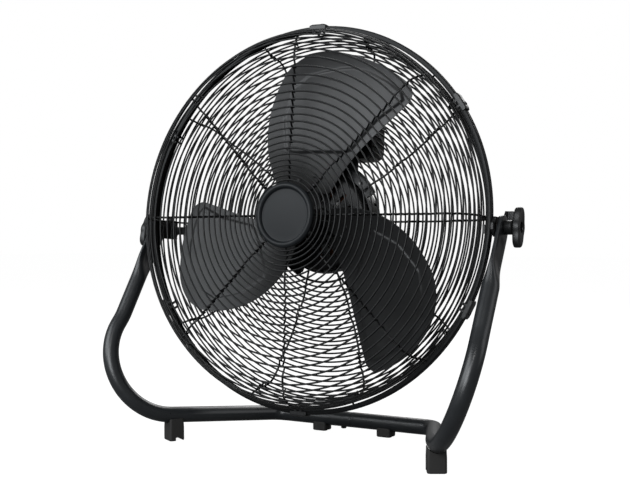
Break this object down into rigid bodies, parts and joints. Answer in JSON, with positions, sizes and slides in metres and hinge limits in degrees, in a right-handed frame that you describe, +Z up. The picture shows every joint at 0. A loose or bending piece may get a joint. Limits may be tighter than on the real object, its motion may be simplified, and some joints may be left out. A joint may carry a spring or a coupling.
{
  "type": "high-velocity floor fan",
  "caption": "Round guarded fan head that tilts between the uprights of a bent-tube floor stand, with twin clamping knobs and a rear control box.",
  "frame": {"origin": "on the floor, below the middle of the fan's box", "axes": "+Z up, the air leaves towards -Y, +X to the right seen from the front"},
  "size_m": [0.6172, 0.2638, 0.6077],
  "materials": {
    "frame_paint": "satin",
    "guard_wire": "satin",
    "blade_metal": "satin",
    "motor_casting": "satin",
    "plain_steel": "satin",
    "winding_copper": "satin",
    "black_plastic": "matte",
    "cap_plastic": "matte",
    "black_rubber": "matte"
  },
  "bodies": {
    "stand": {"stand_tube_left": "frame_paint", "stand_tube_right": "frame_paint", "seam_sleeve": "plain_steel", "seam_screw": "plain_steel", "front_foot_left": "black_rubber", "front_foot_right": "black_rubber", "rear_foot_left": "black_rubber", "rear_foot_right": "black_rubber"},
    "head": {"guard_rim": "frame_paint", "front_guard": "guard_wire", "rear_guard": "guard_wire", "guard_clip_1": "frame_paint", "guard_clip_2": "frame_paint", "guard_clip_3": "frame_paint", "guard_clip_4": "frame_paint", "guard_clip_5": "frame_paint", "guard_clip_6": "frame_paint", "front_cap": "cap_plastic", "cap_clamp_plate": "black_plastic", "motor_mount_plate": "frame_paint", "motor_front_shell": "motor_casting", "motor_rear_shell": "motor_casting", "motor_screw_1": "plain_steel", "motor_screw_2": "plain_steel", "motor_screw_3": "plain_steel", "motor_screw_4": "plain_steel", "front_bearing": "plain_steel", "rear_bearing": "plain_steel", "stator_core": "plain_steel", "front_stator_coil": "winding_copper", "rear_stator_coil": "winding_copper", "control_box_cover": "black_plastic", "control_box_shell": "black_plastic", "rotary_switch": "black_plastic", "run_capacitor": "black_plastic", "cord_gland": "black_rubber", "pivot_bracket_left": "frame_paint", "pivot_bracket_right": "frame_paint", "tilt_bolt_left": "plain_steel", "tilt_bolt_right": "plain_steel", "friction_washer_left": "black_rubber", "friction_washer_right": "black_rubber"},
    "fan": {"rotor_shaft": "plain_steel", "fan_hub": "blade_metal", "fan_blade_1": "blade_metal", "fan_blade_2": "blade_metal", "fan_blade_3": "blade_metal", "spinner_nut": "black_plastic"},
    "left_knob": {"tilt_knob_left": "black_plastic"},
    "right_knob": {"tilt_knob_right": "black_plastic"},
    "speed_dial": {"speed_knob": "black_plastic"}
  },
  "joints": [
    {"name": "head_tilt", "type": "hinge", "parent": "stand", "child": "head", "pos_m": [0, -0.00212, 0.31458], "axis": [-1, 0, 0], "range_deg": [-34.4, 85.6]},
    {"name": "fan_spin", "type": "hinge", "parent": "head", "child": "fan", "pos_m": [0, -0.0201, 0.3285], "axis": [0, 0.9971, -0.0767], "continuous": true},
    {"name": "left_knob_turn", "type": "hinge", "parent": "head", "child": "left_knob", "pos_m": [-0.298, -0.00212, 0.31458], "axis": [-1, 0, 0], "range_deg": [0, 300]},
    {"name": "right_knob_turn", "type": "hinge", "parent": "head", "child": "right_knob", "pos_m": [0.298, -0.00212, 0.31458], "axis": [1, 0, 0], "range_deg": [0, 300]},
    {"name": "speed_select", "type": "hinge", "parent": "head", "child": "speed_dial", "pos_m": [0, 0.09156, 0.44628], "axis": [0, -0.9971, 0.0767], "range_deg": [0, 135]}
  ]
}
